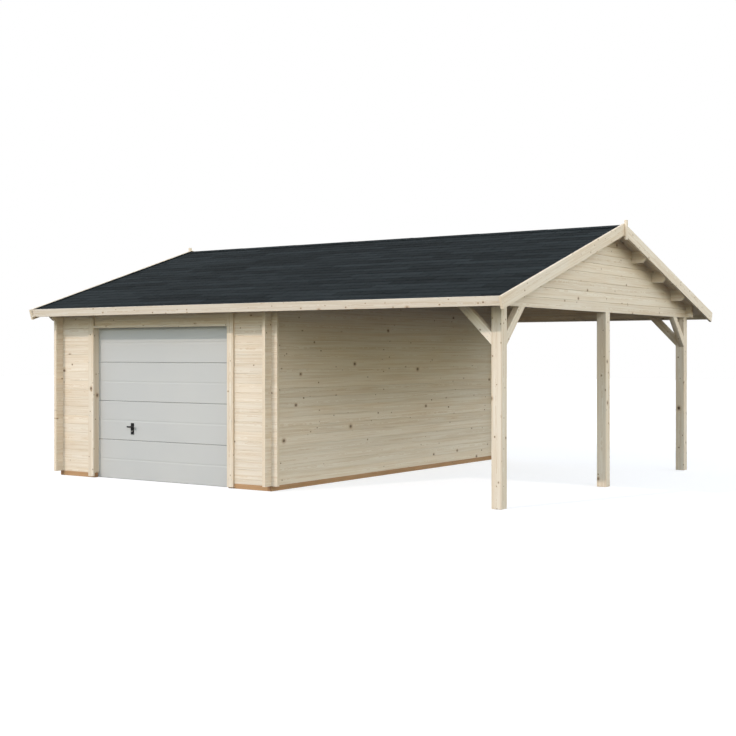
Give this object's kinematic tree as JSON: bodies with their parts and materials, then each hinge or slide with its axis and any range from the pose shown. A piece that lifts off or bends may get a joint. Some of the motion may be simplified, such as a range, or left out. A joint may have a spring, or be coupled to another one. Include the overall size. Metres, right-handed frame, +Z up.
{
  "type": "log garage with open carport",
  "caption": "Pale log garage with a grey sectional door and an open carport on braced posts, under one dark gable roof.",
  "frame": {"origin": "on the ground under the middle of the roof's outline", "axes": "+X along the ridge from the garage to the carport, +Y from the door side to the back, +Z up"},
  "size_m": [7.056, 6.23, 3.2169],
  "materials": {
    "spruce": "planed, untreated",
    "treated_wood": "brown preservative",
    "roof_felt": "mineral grit on bitumen",
    "door_steel": "embossed satin grey",
    "handle_black": "black satin"
  },
  "bodies": {
    "building": {"apex_batten_left": "spruce", "apex_batten_right": "spruce", "back_wall": "spruce", "bargeboard_left_back": "spruce", "bargeboard_left_front": "spruce", "bargeboard_right_back": "spruce", "bargeboard_right_front": "spruce", "base_beam_back": "treated_wood", "base_beam_front": "treated_wood", "base_beam_left": "treated_wood", "base_beam_right": "treated_wood", "brace_back_eave": "spruce", "brace_back_gable": "spruce", "brace_front_eave": "spruce", "brace_front_gable": "spruce", "carport_gable": "spruce", "door_handle_plate": "handle_black", "door_head": "spruce", "door_post_left": "spruce", "door_post_right": "spruce", "door_section_1": "door_steel", "door_section_2": "door_steel", "door_section_3": "door_steel", "door_section_4": "door_steel", "eave_beam_back": "spruce", "eave_beam_front": "spruce", "fascia_back": "spruce", "fascia_front": "spruce", "front_wall_header": "spruce", "front_wall_left": "spruce", "front_wall_right": "spruce", "left_wall": "spruce", "post_back": "spruce", "post_front": "spruce", "post_middle": "spruce", "purlin_back_lower": "spruce", "purlin_back_middle": "spruce", "purlin_back_upper": "spruce", "purlin_front_lower": "spruce", "purlin_front_middle": "spruce", "purlin_front_upper": "spruce", "ridge_cap": "roof_felt", "ridge_purlin": "spruce", "right_wall": "spruce", "roof_boards_back": "spruce", "roof_boards_front": "spruce", "roof_covering_back": "roof_felt", "roof_covering_front": "roof_felt"},
    "lever": {"door_lever": "handle_black"}
  },
  "joints": [
    {"name": "lever_turn", "type": "hinge", "parent": "building", "child": "lever", "pos_m": [-2.091, -2.641, 0.676], "axis": [0, -1, 0], "range_deg": [0, 45], "stiffness_Nm_per_rad": 0.8, "springref_deg": -22.92}
  ]
}
